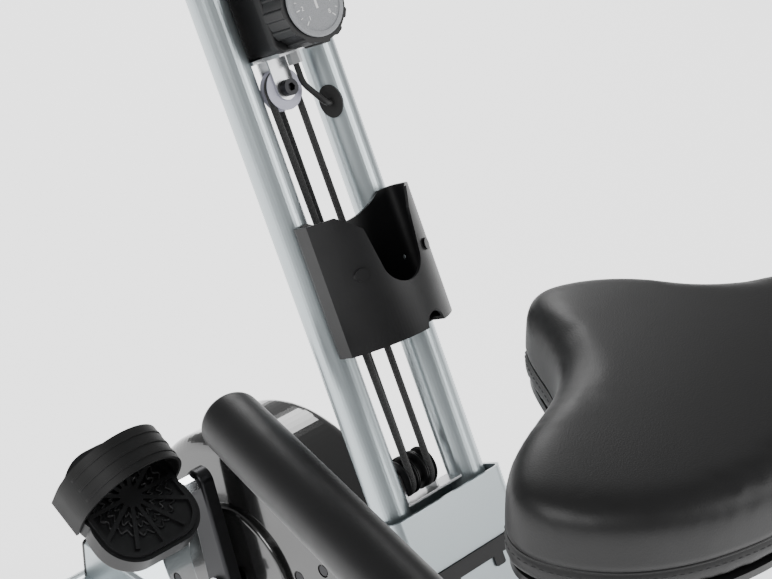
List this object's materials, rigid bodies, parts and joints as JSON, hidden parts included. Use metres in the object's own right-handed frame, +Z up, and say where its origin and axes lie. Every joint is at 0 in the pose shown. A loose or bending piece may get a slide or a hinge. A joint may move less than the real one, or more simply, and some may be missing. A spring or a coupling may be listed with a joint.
{
  "type": "pedal and rowing trainer",
  "caption": "Folding home trainer with pedals, a broad saddle, a leaning twin-tube mast with a tension dial, elastic pull cord and bottle holder.",
  "frame": {"origin": "on the floor, under the middle of the footprint", "axes": "+Z up, +X towards the back of the rider, -Y on the left of the rider"},
  "size_m": [0.944, 0.5506, 1.1137],
  "materials": {
    "silver_paint": "satin metallic paint",
    "frame_black": "satin powder coat",
    "gloss_black": "gloss",
    "black_plastic": "satin",
    "black_rubber": "matte",
    "foam": "satin closed-cell foam",
    "vinyl": "soft satin vinyl",
    "zinc_steel": "zinc plated",
    "black_steel": "black oxide",
    "chrome_steel": "polished",
    "cast": "machined",
    "elastic": "braided sleeve",
    "sheave": "satin nylon",
    "dial_grey": "speckled matt",
    "console_grey": "satin"
  },
  "bodies": {
    "frame": {"base_beam": "silver_paint", "stabilisers": "silver_paint", "end_caps": "black_plastic", "column": "silver_paint", "column_seal": "black_plastic", "hinge_pin": "zinc_steel", "drive_carrier": "frame_black", "crank_bearings": "chrome_steel", "drive_belt": "black_rubber", "housing_left": "gloss_black", "housing_right": "gloss_black", "housing_screws": "black_steel", "seat_post_outer": "silver_paint", "post_bush": "black_plastic"},
    "mast": {"mast_foot_box": "silver_paint", "mast_tubes": "silver_paint", "cable_grommet": "black_rubber", "knob_bracket": "zinc_steel", "knob_block": "black_plastic", "cable_ferrule": "zinc_steel", "tension_cable": "black_rubber", "upper_pulley_screw": "black_steel", "lower_pulley_bracket": "zinc_steel", "top_roller_bracket": "zinc_steel", "pulley_axles": "zinc_steel", "elastic_cord": "elastic", "cord_stops": "black_plastic", "bottle_holder": "black_plastic", "holder_plugs": "black_plastic", "mast_head": "black_plastic", "handlebar": "frame_black", "handlebar_grips": "foam", "console_body": "console_grey"},
    "fold_lock": {"fold_lock_knob": "black_plastic"},
    "knob": {"tension_knob": "black_plastic", "knob_face": "dial_grey"},
    "upper_sheave": {"upper_pulley": "sheave"},
    "lower_sheave_1": {"lower_pulley_1": "black_plastic"},
    "lower_sheave_2": {"lower_pulley_2": "black_plastic"},
    "lower_sheave_3": {"lower_pulley_3": "black_plastic"},
    "roller": {"top_roller": "black_plastic"},
    "crankset": {"crank_axle": "chrome_steel", "crank_left": "black_steel", "crank_right": "black_steel", "pedal_spindles": "chrome_steel", "drive_pulley": "black_plastic"},
    "pedal_l": {"pedal_left": "black_plastic", "pedal_strap_left": "black_rubber"},
    "pedal_r": {"pedal_right": "black_plastic", "pedal_strap_right": "black_rubber"},
    "flywheel_set": {"flywheel": "cast"},
    "brake": {"brake_arm": "zinc_steel"},
    "seat": {"seat_post_inner": "chrome_steel", "saddle_pan": "frame_black", "saddle_cushion": "vinyl", "side_bar": "frame_black", "foam_grip": "foam"},
    "seat_clamp": {"seat_clamp_knob": "black_plastic"},
    "wheel_l": {"wheel_left": "black_rubber"},
    "wheel_r": {"wheel_right": "black_rubber"}
  },
  "joints": [
    {"name": "mast_fold", "type": "hinge", "parent": "frame", "child": "mast", "pos_m": [0.01671, 0, 0.30898], "axis": [0, -1, 0], "range_deg": [0, 45]},
    {"name": "fold_lock_turn", "type": "hinge", "parent": "mast", "child": "fold_lock", "pos_m": [0.05876, 0.05, 0.30854], "axis": [0, 1, 0], "range_deg": [0, 360]},
    {"name": "knob_turn", "type": "hinge", "parent": "mast", "child": "knob", "pos_m": [-0.13234, 0, 0.76963], "axis": [0.8846, 0, 0.4664], "range_deg": [0, 270]},
    {"name": "upper_pulley_spin", "type": "hinge", "parent": "mast", "child": "upper_sheave", "pos_m": [-0.13713, -0.012, 0.70154], "axis": [0.8846, 0, 0.4664], "continuous": true},
    {"name": "lower_pulley_1_spin", "type": "hinge", "parent": "mast", "child": "lower_sheave_1", "pos_m": [0.00859, -0.02, 0.39514], "axis": [0, 1, 0], "continuous": true},
    {"name": "lower_pulley_2_spin", "type": "hinge", "parent": "mast", "child": "lower_sheave_2", "pos_m": [0.00859, -0.009, 0.39514], "axis": [0, 1, 0], "continuous": true},
    {"name": "lower_pulley_3_spin", "type": "hinge", "parent": "mast", "child": "lower_sheave_3", "pos_m": [0.00859, 0.002, 0.39514], "axis": [0, 1, 0], "continuous": true},
    {"name": "top_roller_spin", "type": "hinge", "parent": "mast", "child": "roller", "pos_m": [-0.28337, -0.009, 0.94888], "axis": [0, 1, 0], "continuous": true},
    {"name": "crank_turn", "type": "hinge", "parent": "frame", "child": "crankset", "pos_m": [-0.165, 0, 0.215], "axis": [0, 1, 0], "continuous": true},
    {"name": "pedal_left_spin", "type": "hinge", "parent": "crankset", "child": "pedal_l", "pos_m": [-0.1957, -0.092, 0.31541], "axis": [0, 1, 0], "continuous": true},
    {"name": "pedal_right_spin", "type": "hinge", "parent": "crankset", "child": "pedal_r", "pos_m": [-0.1343, 0.092, 0.11459], "axis": [0, 1, 0], "continuous": true},
    {"name": "flywheel_spin", "type": "hinge", "parent": "frame", "child": "flywheel_set", "pos_m": [-0.068, 0, 0.208], "axis": [0, 1, 0], "continuous": true},
    {"name": "brake_swing", "type": "hinge", "parent": "frame", "child": "brake", "pos_m": [0.01122, 0, 0.21913], "axis": [0, 1, 0], "range_deg": [0, 4]},
    {"name": "seat_height", "type": "slide", "parent": "frame", "child": "seat", "axis": [0, 0, 1], "range_m": [-0.05, 0.08]},
    {"name": "seat_clamp_turn", "type": "hinge", "parent": "frame", "child": "seat_clamp", "pos_m": [0.3, 0, 0.375], "axis": [1, 0, 0], "range_deg": [0, 360]},
    {"name": "wheel_left_spin", "type": "hinge", "parent": "frame", "child": "wheel_l", "pos_m": [-0.446, -0.26, 0.028], "axis": [0, 1, 0], "continuous": true},
    {"name": "wheel_right_spin", "type": "hinge", "parent": "frame", "child": "wheel_r", "pos_m": [-0.446, 0.26, 0.028], "axis": [0, 1, 0], "continuous": true}
  ],
  "couplings": [
    {"joint": "flywheel_spin", "follows": "crank_turn", "ratio": 3.7778},
    {"joint": "brake_swing", "follows": "knob_turn", "ratio": 0.014815}
  ]
}
